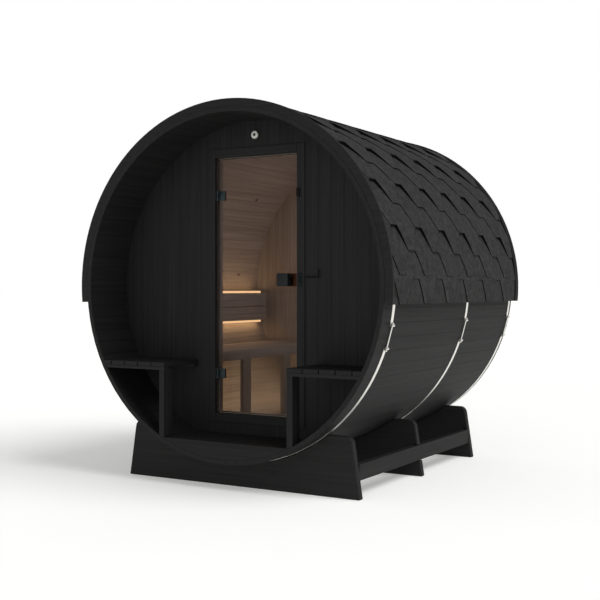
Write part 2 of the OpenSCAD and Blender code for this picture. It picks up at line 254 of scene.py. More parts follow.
boardShift = (17.3, 9.1, 5.7)        # how far the grain moves between boards


# Spruce with its grain along one axis. Rings and fibres run lengthwise, knots are sparse ovals,
# and boardTone moves the pattern and shades it from board to board.
def woodFinish(name, look, axis):
    finish, surface = newFinish(name + "Along" + axis)
    along = "XYZ".index(axis)

    def stretch(across, length):
        return [1 / (length if i == along else across) for i in range(3)]

    place = addNode(finish, "ShaderNodeTexCoord")
    tone = addNode(finish, "ShaderNodeAttribute", {"attribute_name": "boardTone"})
    moved = addNode(finish, "ShaderNodeVectorMath", {"operation": "MULTIPLY_ADD", 1: boardShift},
                    {0: (tone, "Fac"), 2: (place, "Object")})
    ringPlace = addNode(finish, "ShaderNodeVectorMath",
                        {"operation": "MULTIPLY", 1: stretch(look["ring"], look["ringLength"])},
                        {0: (moved, "Vector")})
    rings = addNode(finish, "ShaderNodeTexNoise",
                    {"Scale": 1, "Detail": 3, "Roughness": 0.55, "Distortion": 0.5},
                    {"Vector": (ringPlace, "Vector")})
    ringShade = addNode(finish, "ShaderNodeMapRange", {"From Min": 0.34, "From Max": 0.66},
                        {"Value": (rings, "Fac")})
    fibrePlace = addNode(finish, "ShaderNodeVectorMath",
                         {"operation": "MULTIPLY", 1: stretch(look["fibre"], look["fibreLength"])},
                         {0: (moved, "Vector")})
    fibres = addNode(finish, "ShaderNodeTexNoise", {"Scale": 1, "Detail": 2, "Roughness": 0.6},
                     {"Vector": (fibrePlace, "Vector")})
    knotPlace = addNode(finish, "ShaderNodeVectorMath",
                        {"operation": "MULTIPLY", 1: stretch(look["knotGap"], 2 * look["knotGap"])},
                        {0: (moved, "Vector")})
    knots = addNode(finish, "ShaderNodeTexVoronoi", {"Scale": 1}, {"Vector": (knotPlace, "Vector")})
    knotShade = addNode(finish, "ShaderNodeMapRange",
                        {"From Min": look["knot"] / 2, "From Max": look["knot"], "To Min": 0.85,
                         "To Max": 0}, {"Value": (knots, "Distance")})
    ringMix = addNode(finish, "ShaderNodeMix",
                      {"data_type": "RGBA", 6: hexColour(look["dark"]), 7: hexColour(look["light"])},
                      {0: (ringShade, "Result")})
    streak, spread = look["streak"], look["spread"]
    fibreMix = addNode(finish, "ShaderNodeMapRange", {"To Min": 1 - streak, "To Max": 1 + streak},
                       {"Value": (fibres, "Fac")})
    toneMix = addNode(finish, "ShaderNodeMapRange", {"To Min": 1 - spread, "To Max": 1 + spread},
                      {"Value": (tone, "Fac")})
    bothMix = addNode(finish, "ShaderNodeMath", {"operation": "MULTIPLY"},
                      {0: (fibreMix, "Result"), 1: (toneMix, "Result")})
    shaded = addNode(finish, "ShaderNodeVectorMath", {"operation": "SCALE"},
                     {0: (ringMix, 2), "Scale": (bothMix, "Value")})
    knotMix = addNode(finish, "ShaderNodeMix", {"data_type": "RGBA", 7: hexColour(look["knotColour"])},
                      {0: (knotShade, "Result"), 6: (shaded, "Vector")})
    relief = addNode(finish, "ShaderNodeMath", {"operation": "MULTIPLY_ADD", 1: 0.5},
                     {0: (rings, "Fac"), 2: (fibres, "Fac")})
    bump = addNode(finish, "ShaderNodeBump", {"Strength": look["bump"], "Distance": 0.8 * mm},
                   {"Height": (relief, "Value")})
    rough = addNode(finish, "ShaderNodeMapRange",
                    {"To Min": look["rough"] - 0.07, "To Max": look["rough"] + 0.07},
                    {"Value": (fibres, "Fac")})
    setSurface(finish, surface, {"Specular IOR Level": look["shine"]},
               {"Base Color": (knotMix, 2), "Roughness": (rough, "Result"), "Normal": (bump, "Normal")})
    return finish


# Black stained spruce: a matt, nearly black coat through which the raised grain still shows
blackLook = {"dark": "#1b1b1b", "light": "#232323", "knotColour": "#171717", "ring": 14 * mm,
             "ringLength": 900 * mm, "fibre": 3.5 * mm, "fibreLength": 120 * mm, "streak": 0.07,
             "spread": 0.05, "knotGap": 330 * mm, "knot": 0.05, "bump": 0.35, "rough": 0.62, "shine": 0.14}
# Natural spruce: planed, pale and warm, with brown rings and small dark knots
naturalLook = {"dark": "#b3a596", "light": "#cfc5b8", "knotColour": "#6a4f3a", "ring": 11 * mm,
               "ringLength": 800 * mm, "fibre": 3 * mm, "fibreLength": 120 * mm, "streak": 0.08,
               "spread": 0.07, "knotGap": 190 * mm, "knot": 0.07, "bump": 0.35, "rough": 0.5, "shine": 0.3}
# Oiled hardwood of the inner handle: deep orange brown with a soft gloss
handleLook = {"dark": "#7d451b", "light": "#a86a34", "knotColour": "#4f2a10", "ring": 5 * mm,
              "ringLength": 160 * mm, "fibre": 1.5 * mm, "fibreLength": 30 * mm, "streak": 0.10,
              "spread": 0.0, "knotGap": 400 * mm, "knot": 0.02, "bump": 0.2, "rough": 0.35, "shine": 0.5}
blackSpruce = {axis: woodFinish("blackStainedSpruce", blackLook, axis) for axis in "XYZ"}
naturalSpruce = {axis: woodFinish("naturalSpruce", naturalLook, axis) for axis in "XYZ"}
handleWood = {"X": woodFinish("oiledHandleWood", handleLook, "X")}


# Bitumen shingle: crushed mineral granules pressed into felt, dull charcoal with a faint mottle.
# Real granules are 1.5 mm; they are drawn at 9 mm so that they show.
shingleLook = {"dark": "#181818", "light": "#393939", "granule": 9 * mm, "blotch": 40 * mm, "spread": 0.06,
               "grainShare": 1.4, "low": 0.85, "high": 1.6, "bump": 0.6, "rough": 0.9, "shine": 0.2}


def shingleFinish(look):
    finish, surface = newFinish("bitumenShingle")
    place = addNode(finish, "ShaderNodeTexCoord")
    tone = addNode(finish, "ShaderNodeAttribute", {"attribute_name": "boardTone"})
    granules = addNode(finish, "ShaderNodeTexVoronoi", {"Scale": 1 / look["granule"]},
                       {"Vector": (place, "Object")})
    blotches = addNode(finish, "ShaderNodeTexNoise", {"Scale": 1 / look["blotch"], "Detail": 4},
                       {"Vector": (place, "Object")})
    grains = addNode(finish, "ShaderNodeTexNoise", {"Scale": 1 / look["granule"], "Detail": 2},
                     {"Vector": (place, "Object")})
    mixed = addNode(finish, "ShaderNodeMath", {"operation": "MULTIPLY_ADD", 1: look["grainShare"]},
                    {0: (grains, "Fac"), 2: (blotches, "Fac")})
    shade = addNode(finish, "ShaderNodeMapRange", {"From Min": look["low"], "From Max": look["high"]},
                    {"Value": (mixed, "Value")})
    colour = addNode(finish, "ShaderNodeMix",
                     {"data_type": "RGBA", 6: hexColour(look["dark"]), 7: hexColour(look["light"])},
                     {0: (shade, "Result")})
    toneMix = addNode(finish, "ShaderNodeMapRange",
                      {"To Min": 1 - look["spread"], "To Max": 1 + look["spread"]},
                      {"Value": (tone, "Fac")})
    shaded = addNode(finish, "ShaderNodeVectorMath", {"operation": "SCALE"},
                     {0: (colour, 2), "Scale": (toneMix, "Result")})
    bump = addNode(finish, "ShaderNodeBump", {"Strength": look["bump"], "Distance": 1 * mm},
                   {"Height": (granules, "Distance")})
    setSurface(finish, surface, {"Roughness": look["rough"], "Specular IOR Level": look["shine"]},
               {"Base Color": (shaded, "Vector"), "Normal": (bump, "Normal")})
    return finish


# Cut bitumen: the black, slightly tarry edge where a shingle was cut, darkened further as painted shade so
# that the tab edges read as shadow lines
cutEdgeShadeLook = {"dark": "#030303", "light": "#0a0a0a", "lump": 4 * mm}


def cutEdgeShadeFinish(look):
    finish, surface = newFinish("cutBitumenEdgePaintedShade")
    place = addNode(finish, "ShaderNodeTexCoord")
    tar = addNode(finish, "ShaderNodeTexNoise", {"Scale": 1 / look["lump"], "Detail": 2},
                  {"Vector": (place, "Object")})
    colour = addNode(finish, "ShaderNodeMix",
                     {"data_type": "RGBA", 6: hexColour(look["dark"]), 7: hexColour(look["light"])},
                     {0: (tar, "Fac")})
    setSurface(finish, surface, {"Roughness": 0.8, "Specular IOR Level": 0.1}, {"Base Color": (colour, 2)})
    return finish


# Metals: a mill-bright or brushed surface whose fine streaks run along one axis.
# Real brush lines are 0.3 mm apart; they are drawn at 2 mm so that they show.
brushed = {"length": 60 * mm, "width": 2 * mm}


def metalFinish(name, colour, rough, streakAlong):
    finish, surface = newFinish(name)
    place = addNode(finish, "ShaderNodeTexCoord")
    stretch = [1 / brushed["length" if axis == streakAlong else "width"] for axis in "XYZ"]
    stretched = addNode(finish, "ShaderNodeVectorMath", {"operation": "MULTIPLY", 1: stretch},
                        {0: (place, "Object")})
    streaks = addNode(finish, "ShaderNodeTexNoise", {"Scale": 1, "Detail": 3},
                      {"Vector": (stretched, "Vector")})
    roughness = addNode(finish, "ShaderNodeMapRange", {"To Min": rough - 0.08, "To Max": rough + 0.1},
                        {"Value": (streaks, "Fac")})
    dull = [c * 0.86 for c in hexColour(colour)[:3]] + [1]
    shade = addNode(finish, "ShaderNodeMix", {"data_type": "RGBA", 6: dull, 7: hexColour(colour)},
                    {0: (streaks, "Fac")})
    bump = addNode(finish, "ShaderNodeBump", {"Strength": 0.12, "Distance": 0.1 * mm},
                   {"Height": (streaks, "Fac")})
    setSurface(finish, surface, {"Metallic": 1.0},
               {"Base Color": (shade, 2), "Roughness": (roughness, "Result"), "Normal": (bump, "Normal")})
    return finish


# Paints and plastics: one colour with the faint orange peel of a sprayed or moulded skin
def skinFinish(name, colour, rough, peel=1.5 * mm, strength=0.15, shine=0.5, spread=0.12):
    finish, surface = newFinish(name)
    place = addNode(finish, "ShaderNodeTexCoord")
    skin = addNode(finish, "ShaderNodeTexNoise", {"Scale": 1 / peel, "Detail": 2},
                   {"Vector": (place, "Object")})
    darker = [c * (1 - spread) for c in hexColour(colour)[:3]] + [1]
    shade = addNode(finish, "ShaderNodeMix", {"data_type": "RGBA", 6: darker, 7: hexColour(colour)},
                    {0: (skin, "Fac")})
    bump = addNode(finish, "ShaderNodeBump", {"Strength": strength, "Distance": 0.2 * mm},
                   {"Height": (skin, "Fac")})
    setSurface(finish, surface, {"Roughness": rough, "Specular IOR Level": shine},
               {"Base Color": (shade, 2), "Normal": (bump, "Normal")})
    return finish


# Bronze tinted float glass, toughened: clear and dim, with a hair of waviness. Its IOR is under
# real glass's 1.5, so that the cabin shows through more than the bright studio shows in it.
glassLook = {"dark": "#8b898a", "light": "#8f8d8e", "wave": 250 * mm, "ior": 1.15}


def glassFinish(look):
    finish, surface = newFinish("bronzeFloatGlass")
    place = addNode(finish, "ShaderNodeTexCoord")
    waves = addNode(finish, "ShaderNodeTexNoise", {"Scale": 1 / look["wave"], "Detail": 0},
                    {"Vector": (place, "Object")})
    bump = addNode(finish, "ShaderNodeBump", {"Strength": 0.02, "Distance": 0.2 * mm},
                   {"Height": (waves, "Fac")})
    tint = addNode(finish, "ShaderNodeMix",
                   {"data_type": "RGBA", 6: hexColour(look["dark"]), 7: hexColour(look["light"])},
                   {0: (waves, "Fac")})
    setSurface(finish, surface, {"Roughness": 0.0, "IOR": look["ior"], "Transmission Weight": 1.0},
               {"Base Color": (tint, 2), "Normal": (bump, "Normal")})
    return finish


# Warm white light strip behind an opal diffuser: bright, a little fainter between the diodes
stripLook = {"opal": "#f2e6d0", "warm": "#ffc98b", "pale": "#ffd197", "diodeGap": 50 * mm, "strength": 3.0}


def lightFinish(look):
    finish, surface = newFinish("warmLightStrip")
    place = addNode(finish, "ShaderNodeTexCoord")
    spacing = addNode(finish, "ShaderNodeVectorMath",
                      {"operation": "MULTIPLY", 1: (0, 1 / look["diodeGap"], 0)}, {0: (place, "Object")})
    diodes = addNode(finish, "ShaderNodeTexNoise", {"Scale": 1, "Detail": 0}, {"Vector": (spacing, "Vector")})
    glow = addNode(finish, "ShaderNodeMix",
                   {"data_type": "RGBA", 6: hexColour(look["warm"]), 7: hexColour(look["pale"])},
                   {0: (diodes, "Fac")})
    setSurface(finish, surface, {"Base Color": hexColour(look["opal"]), "Roughness": 0.4,
                                 "Emission Strength": look["strength"]}, {"Emission Color": (glow, 2)})
    return finish


shingleSkin = shingleFinish(shingleLook)
shingleEdgeShade = cutEdgeShadeFinish(cutEdgeShadeLook)
hoopSteel = metalFinish("rolledStainlessSteel", "#f2f0ea", 0.32, "Y")      # bright, soft sheen
hingeSteel = metalFinish("brushedHingeSteel", "#363f41", 0.4, "Z")         # dark and bluish
plateSteel = metalFinish("brushedStrikeSteel", "#1d2223", 0.5, "Z")        # darker still and duller
blackCoat = skinFinish("blackPowderCoat", "#15191a", 0.45)                 # satin, with a faint peel
handleCoat = skinFinish("blackHandleCoat", "#0e1416", 0.5, shine=0.25)     # cool black that hardly shines
forgedBlack = skinFinish("blackedIron", "#050505", 0.6, shine=0.15)        # dead black
ventPlastic = skinFinish("whiteMouldedPlastic", "#d9d8d2", 0.35, strength=0.05)    # smooth off-white
ventShadow = skinFinish("ventPaintedShade", "#1c1c1a", 0.5, strength=0.05)       # painted shade: dark grey on the vent's rim, groove and hole, standing in for the shadow there
bronzeGlass = glassFinish(glassLook)
stripLight = lightFinish(stripLook)
print("finishes made")


def shadeAll(piece, *finishes):
    piece.data.materials.clear()
    for finish in finishes:
        piece.data.materials.append(finish)


# Gives each loose board of a piece the finish whose grain runs along its longest side, and a tone
# of its own. Faces that pass the inside test take the other wood.
def dressBoards(piece, wood, seed, grain=None, otherWood=None, inside=None):
    dice = random.Random(seed)
    finishes = list(wood.values()) + (list(otherWood.values()) if otherWood else [])
    shadeAll(piece, *finishes)
    shape = bmesh.new()
    shape.from_mesh(piece.data)
    toneLayer = shape.faces.layers.float.new("boardTone")
    left = set(shape.faces)
    for start in list(shape.faces):
        if start not in left:
            continue
        left.discard(start)
        board, edge = [start], [start]
        while edge:
            face = edge.pop()
            for link in face.edges:
                for other in link.link_faces:
                    if other in left:
                        left.discard(other)
                        board.append(other)
                        edge.append(other)
        corners = [corner.co for face in board for corner in face.verts]
        sides = [max(c[i] for c in corners) - min(c[i] for c in corners) for i in range(3)]
        axis = grain or "XYZ"[sides.index(max(sides))]
        tone = dice.random()
        for face in board:
            face[toneLayer] = tone
            chosen = otherWood if inside and inside(face) else wood
            face.material_index = finishes.index(chosen[axis])
    shape.to_mesh(piece.data)
    shape.free()


def smoothCurves(piece):
    onlySelect(piece)
    bpy.ops.object.shade_smooth_by_angle(angle=math.radians(making["smooth"]))


def coat(piece, *finishes):
    shadeAll(piece, *finishes)
    smoothCurves(piece)


# Camera, light and floor

cameraView = {"place": (3.4637, -6.0086, 1.1872), "turn": 30.53, "lens": 61.95, "shiftY": -0.0198}
studio = {"sky": "#ffffff", "skyLight": 0.36, "floor": "#f0f0ee", "floorSize": 400, "floorGlow": 0.32,
          "floorMottle": 400 * mm}
# each soft lamp's turn from the front towards the right, its rise, power and softness
lamps = {"side": {"turn": 93, "rise": 48, "power": 2.05, "softness": 40},
         "front": {"turn": 4, "rise": 10, "power": 0.5, "softness": 40}}
# lamps inside the cabin, hidden from the camera, the glass and reflections: place, turns, size and power
cabinLamps = {
    "ceiling": {"place": (0.1, 0.15, 1.95), "turns": (0, 0, 0), "size": (0.6, 1.0), "power": 3.9,
                "colour": "#f4f4ff"},
    "floor": {"place": (0.3, 0.2, 0.7), "turns": (180, 0, 0), "size": (0.5, 1.0), "power": 7.2,
              "colour": "#f4f2ff"},
    "underBench": {"place": (-0.46, 0.2, 0.55), "turns": (0, 80, 0), "size": (0.3, 1.2), "power": 2.2,
                   "colour": "#ffe2bd"},
    "backrestTop": {"place": (-0.955, 0.15, 1.165), "turns": (180, 0, 0), "size": (0.03, 1.4), "power": 1.6,
                    "colour": "#ffd29a"},
    "backrestFoot": {"place": (-0.955, 0.15, 0.925), "turns": (0, 0, 0), "size": (0.03, 1.4), "power": 1.0,
                     "colour": "#ffd29a"},
}


def buildStudio():
    bpy.ops.object.camera_add(location=cameraView["place"],
                              rotation=(math.radians(90), 0, math.radians(cameraView["turn"])))
    camera = bpy.context.object
    camera.data.lens = cameraView["lens"]
    camera.data.shift_y = cameraView["shiftY"]
    scene = bpy.context.scene
    scene.camera = camera
    scene.view_settings.view_transform = "Standard"
    # the sky looks white, and lights the sauna less than it shows
    sky = bpy.data.worlds.new("studioSky")
    sky.use_nodes = True
    scene.world = sky
    light = sky.node_tree.nodes["Background"]
    light.inputs["Color"].default_value = hexColour(studio["sky"])
    light.inputs["Strength"].default_value = studio["skyLight"]
    shown = addNode(sky, "ShaderNodeBackground", {"Color": hexColour(studio["sky"]), "Strength": 1.0})
    path = addNode(sky, "ShaderNodeLightPath")
    choice = addNode(sky, "ShaderNodeMixShader", None,
                     {0: (path, "Is Camera Ray"), 1: (light, "Background"), 2: (shown, "Background")})
    sky.node_tree.links.new(choice.outputs["Shader"], sky.node_tree.nodes["World Output"].inputs["Surface"])
    for name, lamp in lamps.items():
        bpy.ops.object.light_add(type="SUN", location=(0, 0, 6),
                                 rotation=(math.radians(90 - lamp["rise"]), 0, math.radians(lamp["turn"])))
        bpy.context.object.name = name + "Lamp"
        bpy.context.object.data.energy = lamp["power"]
        bpy.context.object.data.angle = math.radians(lamp["softness"])
    for name, lamp in cabinLamps.items():
        bpy.ops.object.light_add(type="AREA", location=lamp["place"],
                                 rotation=[math.radians(turn) for turn in lamp["turns"]])
        glow = bpy.context.object
        glow.name = name + "Lamp"
        glow.visible_camera = False
        glow.visible_transmission = False
        glow.visible_glossy = False
        glow.data.shape = "RECTANGLE"
        glow.data.size, glow.data.size_y = lamp["size"]
        glow.data.energy = lamp["power"]
        glow.data.color = hexColour(lamp["colour"])[:3]
    bpy.ops.mesh.primitive_plane_add(size=studio["floorSize"], location=(0, 0, cadLow.z))
    floor = bpy.context.object
    floor.name = "studioFloor"
    paleFloor = skinFinish("paleStudioFloor", studio["floor"], 0.9, peel=studio["floorMottle"], strength=0.0,
                           shine=0.1, spread=0.01)
    setSurface(paleFloor, paleFloor.node_tree.nodes["Principled BSDF"],
               {"Emission Color": hexColour(studio["floor"]), "Emission Strength": studio["floorGlow"]})
    shadeAll(floor, paleFloor)


buildStudio()
print("studio set")


# Barrel of staves: one is modelled at the right-hand side and copied round the axis

# skin: how deep the cabin's bare wood reaches into a stave
staves = {"count": 80, "gap": 0.1 * mm, "chamfer": 1.0 * mm, "skin": 8 * mm}


def buildStaves():
    half = math.radians(180 / staves["count"])
    outerFlat = barrel["outer"] * math.cos(half)
    outerHalf = barrel["outer"] * math.sin(half) - staves["gap"] / 2
    innerHalf = barrel["inner"] * math.tan(half) - staves["gap"] / 2
    bpy.ops.object.select_all(action="DESELECT")
    middle = ((barrel["inner"] + outerFlat) / 2, (barrel["front"] + barrel["rear"]) / 2, barrel["axis"])
    bpy.ops.mesh.primitive_cube_add(size=1, location=middle)
    stave = bpy.context.object
    stave.scale = (outerFlat - barrel["inner"], barrel["rear"] - barrel["front"], 2 * outerHalf)
    applyPlace(stave)
    editPiece(stave)
    pick(stave, "FACE", lambda spot, face: face.normal.x < -0.9)
    bpy.ops.transform.resize(value=(1, 1, innerHalf / outerHalf), center_override=axisPoint)
    pick(stave, "EDGE", lambda spot, edge: abs(spot.y) < 1 * mm and abs(spot.z - barrel["axis"]) > 10 * mm)
    bpy.ops.mesh.bevel(offset=staves["chamfer"], segments=1, affect="EDGES")
    for cut in (barrel["wallMiddle"], barrel["rearMiddle"]):
        cutThrough((0, cut, 0), (0, 1, 0))
    leaveEdit()
    copies = [copyPiece(stave, turnRound(i * 360 / staves["count"])) for i in range(1, staves["count"])]
    allStaves = joinPieces([stave] + copies)

    def inCabin(face):
        spot = face.calc_center_median()
        outward = Vector((spot.x, 0, spot.z - barrel["axis"]))
        return (barrel["wallMiddle"] < spot.y < barrel["rearMiddle"]
                and outward.length < barrel["inner"] + staves["skin"] and face.normal.dot(outward) < 0)

    dressBoards(allStaves, blackSpruce, 11, grain="Y", otherWood=naturalSpruce, inside=inCabin)
    settle(allStaves, "barrelStaves",
           replaces=[f"barrel_{part}_{side}" for part in ("top", "shoulder", "flank", "belly")
                     for side in ("left", "right")])
    print("staves laid round:", staves["count"])


buildStaves()


# Roof: board arcs at both ends, a deck with felt, a metal strip on the rear edge, and courses of
# hexagonal shingle tabs. Lines, lifts and the crown are angles in degrees over the barrel's middle.

roof = {"trimEase": 2.5 * mm, "deckGap": 2.3 * mm, "deckDepth": 29 * mm, "felt": 3 * mm, "feltGap": 0.2 * mm,
        "edgeStrip": 40 * mm, "stripEase": 3 * mm, "stripGap": 0.3 * mm, "shellSteps": 96,
        "pitch": 333 * mm, "tab": 142 * mm, "body": 150 * mm, "rows": 4, "repeats": 9, "rim": 1.6 * mm,
        "firstLine": 3.1, "lineStep": 7.33, "courses": 11, "phase": 171 * mm, "drift": 12 * mm,
        "eaveLine": 1.7, "eaveLift": 0.35, "eavePhase": 0.0, "crown": 89.9}
ridge = {"half": 7.2, "folds": (-0.66, -0.33, 0, 0.33, 0.66), "top": 0.3 * mm, "lap": 4.5 * mm,
         "thick": 2.2 * mm}
# depth of each course's outer and inner face under the roof's outer radius,
# at the tab's foot, at the notch's top and at the strip's upper edge
courseDepths = {
    "full": {"outer": (4.8 * mm, 2.4 * mm, 12.5 * mm), "inner": (7.6 * mm, 20.5 * mm, 24.0 * mm)},
    "thin": {"outer": (0.4 * mm, 7.4 * mm, 20.5 * mm), "inner": (2.6 * mm, 12.0 * mm, 23.0 * mm)},
    "eave": {"outer": (2.0 * mm, 3.0 * mm, 11.5 * mm), "inner": (6.0 * mm, 7.5 * mm, 14.0 * mm)},
}
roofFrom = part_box("roof_left")[0].y
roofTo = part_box("roof_left")[1].y - roof["edgeStrip"]
roofFoot = -math.degrees(math.asin((barrel["axis"] - roofLow.z) / barrel["roof"]))
# strips under the lowest courses: their foot, head and depth under the roof's outer radius
starterStrips = ((roofFoot, 2.4, 7.5 * mm), (2.4, 13.5, 12.5 * mm))


# A curved shell round the axis: a rectangle spun from one angle to another
def addShell(inner, outer, yFrom, yTo, angleFrom, angleTo, steps):
    middle = Vector(((inner + outer) / 2, (yFrom + yTo) / 2, barrel["axis"]))
    bpy.ops.object.select_all(action="DESELECT")
    bpy.ops.mesh.primitive_plane_add(size=1, location=middle)
    shell = bpy.context.object
    shell.scale = (outer - inner, yTo - yFrom, 1)
    applyPlace(shell)
    shell.data.transform(turnRound(angleFrom))
    editPiece(shell)
    bpy.ops.mesh.spin(steps=steps, angle=math.radians(angleTo - angleFrom), center=axisPoint, axis=(0, 1, 0))
    bpy.ops.mesh.select_all(action="SELECT")
    bpy.ops.mesh.remove_doubles(threshold=0.01 * mm)
    bpy.ops.mesh.normals_make_consistent(inside=False)
    leaveEdit()
    return shell


def depthAt(depths, height):
    middle, top = roof["tab"], roof["tab"] + roof["body"]
    if height < middle:
        return depths[0] + (depths[1] - depths[0]) * height / middle
    return depths[1] + (depths[2] - depths[1]) * (height - middle) / (top - middle)


# One pitch of a shingle strip, lying flat: X along the roof, Y up the slope, Z its thickness
def addShingleUnit():
    pitch, tab, body = roof["pitch"], roof["tab"], roof["body"]
    bpy.ops.object.select_all(action="DESELECT")
    bpy.ops.mesh.primitive_plane_add(size=1, location=(pitch / 2, tab + body / 2, 0))
    unit = bpy.context.object
    unit.scale = (pitch, body, 1)
    applyPlace(unit)
    editPiece(unit)
    for share in (1 / 8, 7 / 8):
        cutThrough((pitch * share, 0, 0), (1, 0, 0))
    pick(unit, "EDGE", lambda spot, edge: abs(spot.y - tab) < 1 * mm and abs(spot.x - pitch / 2) < 1 * mm)
    pullOut((0, -tab, 0))
    bpy.ops.transform.resize(value=(1 / 3, 1, 1), center_override=(pitch / 2, 0, 0))
    rows = roof["rows"]
    for height in [tab * i / rows for i in range(1, rows)] + [tab + body * i / rows for i in range(1, rows)]:
        cutThrough((0, height, 0), (0, 1, 0))
    leaveEdit()
    shadeAll(unit, shingleSkin, shingleEdgeShade)
    return unit


# Lays a copy of the strip as one course: cut to length, given thickness and bent round the roof
def addCourse(strip, footAngle, phase, depths, dice, topAngle=None):
    shift = phase - roof["pitch"] * 9 / 8          # a notch's middle comes to the phase
    course = copyPiece(strip, Matrix.Translation((shift, 0, 0)))
    length = roofTo - roofFrom
    editPiece(course)
    cutThrough((0, 0, 0), (1, 0, 0), clear_inner=True)
    cutThrough((length, 0, 0), (1, 0, 0), clear_outer=True)
    if topAngle:
        top = math.radians(topAngle - footAngle) * barrel["roof"]
        cutThrough((0, top, 0), (0, 1, 0), clear_outer=True)
    bpy.ops.mesh.select_all(action="SELECT")
    pullOut((0, 0, 1))
    leaveEdit()
    shape = bmesh.new()
    shape.from_mesh(course.data)
    tones = shape.faces.layers.float.new("boardTone")
    tabTones = [dice.random() for i in range(roof["repeats"] + 1)]
    bodyTone = dice.random()
    for face in shape.faces:
        middle = face.calc_center_median()
        tabIndex = int((middle.x - shift) / roof["pitch"])
        face[tones] = tabTones[tabIndex] if middle.y < roof["tab"] else bodyTone
        # the tab's cut sides take the dark edge finish: real black bitumen, darkened further as painted shade
        if abs(face.normal.z) < 0.5:
            face.material_index = 1
    for corner in shape.verts:
        along, up, outer = corner.co
        radius = barrel["roof"] - depthAt(depths["outer" if outer > 0.5 else "inner"], up)
        angle = math.radians(footAngle) + up / barrel["roof"]
        corner.co = (radius * math.cos(angle), roofFrom + along, barrel["axis"] + radius * math.sin(angle))
    bmesh.ops.recalc_face_normals(shape, faces=shape.faces)
    shape.to_mesh(course.data)
    shape.free()
    return course


# Ridge caps: short strips folded over the crown, each lapping the one behind it
def addRidgeCaps(dice):
    half, tab = math.radians(ridge["half"]) * barrel["roof"], roof["tab"]
    bpy.ops.object.select_all(action="DESELECT")
    bpy.ops.mesh.primitive_plane_add(size=1, location=(0, tab, 0))
    cap = bpy.context.object
    cap.scale = (2 * half, 2 * tab, 1)
    applyPlace(cap)
    shadeAll(cap, shingleSkin, shingleEdgeShade)
    editPiece(cap)
    for share in ridge["folds"]:
        cutThrough((half * share, 0, 0), (1, 0, 0))
    bpy.ops.mesh.select_all(action="SELECT")
    pullOut((0, 0, 1))
    bpy.ops.mesh.select_all(action="SELECT")
    bpy.ops.mesh.normals_make_consistent(inside=False)
    leaveEdit()
    length = roofTo - roofFrom
    count = math.ceil(length / tab)
    caps = []
    for i in range(count):
        piece = copyPiece(cap, Matrix.Identity(4))
        start = roofFrom + i * length / count
        shape = bmesh.new()
        shape.from_mesh(piece.data)
        tones = shape.faces.layers.float.new("boardTone")
        tone = dice.random()
        for face in shape.faces:
            face[tones] = tone
            # the cap's cut sides take the dark edge finish: real black bitumen, darkened further as painted
            # shade
            face.material_index = 1 if abs(face.normal.z) < 0.5 else 0
        for corner in shape.verts:
            across, along, outer = corner.co
            depth = ridge["top"] + ridge["lap"] * along / (2 * tab) + (0 if outer > 0.5 else ridge["thick"])
            radius = barrel["roof"] - depth
            angle = across / barrel["roof"]
            y = min(start + along, roofTo)
            corner.co = (radius * math.sin(angle), y, barrel["axis"] + radius * math.cos(angle))
        shape.to_mesh(piece.data)
        shape.free()
        caps.append(piece)
    bpy.data.objects.remove(cap)
    return joinPieces(caps)


def buildRoof():
    deck = barrel["roof"] - roof["deckDepth"]
    inner = barrel["outer"] + roof["deckGap"]
    feltTop = deck + roof["felt"]
    gap = roof["stripGap"]
    span = (roofFoot, 180 - roofFoot, roof["shellSteps"])
    trims = easedCopy("roof_trims", roof["trimEase"])
    dressBoards(trims, blackSpruce, 21, grain="X")
    settle(trims, "roofTrims", replaces=["roof_trims"])
    # the deck clears the hoops under it and carries the felt
    deckShell = addShell(inner, deck, roofFrom, roofTo, *span)
    rearStrip = addShell(inner, barrel["roof"] - gap, roofTo + gap, roofTo + roof["edgeStrip"] - gap, *span)
    easeCorners(rearStrip, roof["stripEase"])
    shadeAll(rearStrip, forgedBlack)
    settle(rearStrip, "roofRearStrip")
    dressBoards(deckShell, blackSpruce, 22, grain="Y")
    settle(deckShell, "roofDeck")
    layers = [addShell(deck + roof["feltGap"], feltTop, roofFrom, roofTo, *span)]
    for foot, head, depth in starterStrips:
        starter = addShell(feltTop + roof["feltGap"], barrel["roof"] - depth, roofFrom, roofTo, foot, head, 8)
        layers += [starter, mirrorPiece(starter)]
    felt = joinPieces(layers)
    shadeAll(felt, shingleSkin)
    settle(felt, "roofFelt")
    print("roof deck and felt laid")

    dice = random.Random(31)
    unit = addShingleUnit()
    useModifier(unit, "ARRAY", count=roof["repeats"], use_merge_vertices=True, merge_threshold=0.1 * mm)
    # painted shade: the cut outline gets a dark rim without granules, so the tab edges show as shadow lines
    # from every side
    editPiece(unit)
    bpy.ops.mesh.select_mode(type="FACE")
    bpy.ops.mesh.inset(thickness=roof["rim"])
    bpy.ops.mesh.select_all(action="INVERT")
    unit.active_material_index = 1
    bpy.ops.object.material_slot_assign()
    leaveEdit()
    tabShare = math.degrees(roof["tab"] / barrel["roof"])
    eaveFoot = roof["eaveLine"] - tabShare + roof["eaveLift"]
    courses = [addCourse(unit, eaveFoot, roof["eavePhase"], courseDepths["eave"], dice)]
    for k in range(1, roof["courses"] + 1):
        line = roof["firstLine"] + roof["lineStep"] * k
        phase = (roof["phase"] - roof["drift"] * k + roof["pitch"] / 2 * (k % 2)) % roof["pitch"]
        kind = "thin" if k % 2 else "full"
        courses.append(addCourse(unit, line - tabShare, phase, courseDepths[kind], dice,
                                 topAngle=roof["crown"] if k > roof["courses"] - 2 else None))
    right = joinPieces(courses)
    bpy.data.objects.remove(unit)
    left = mirrorPiece(right)
    shingles = joinPieces([right, left, addRidgeCaps(dice)])
    settle(shingles, "roofShingles", replaces=["roof_left", "roof_right"])
    print("shingle courses laid:", 2 * len(courses))


buildRoof()


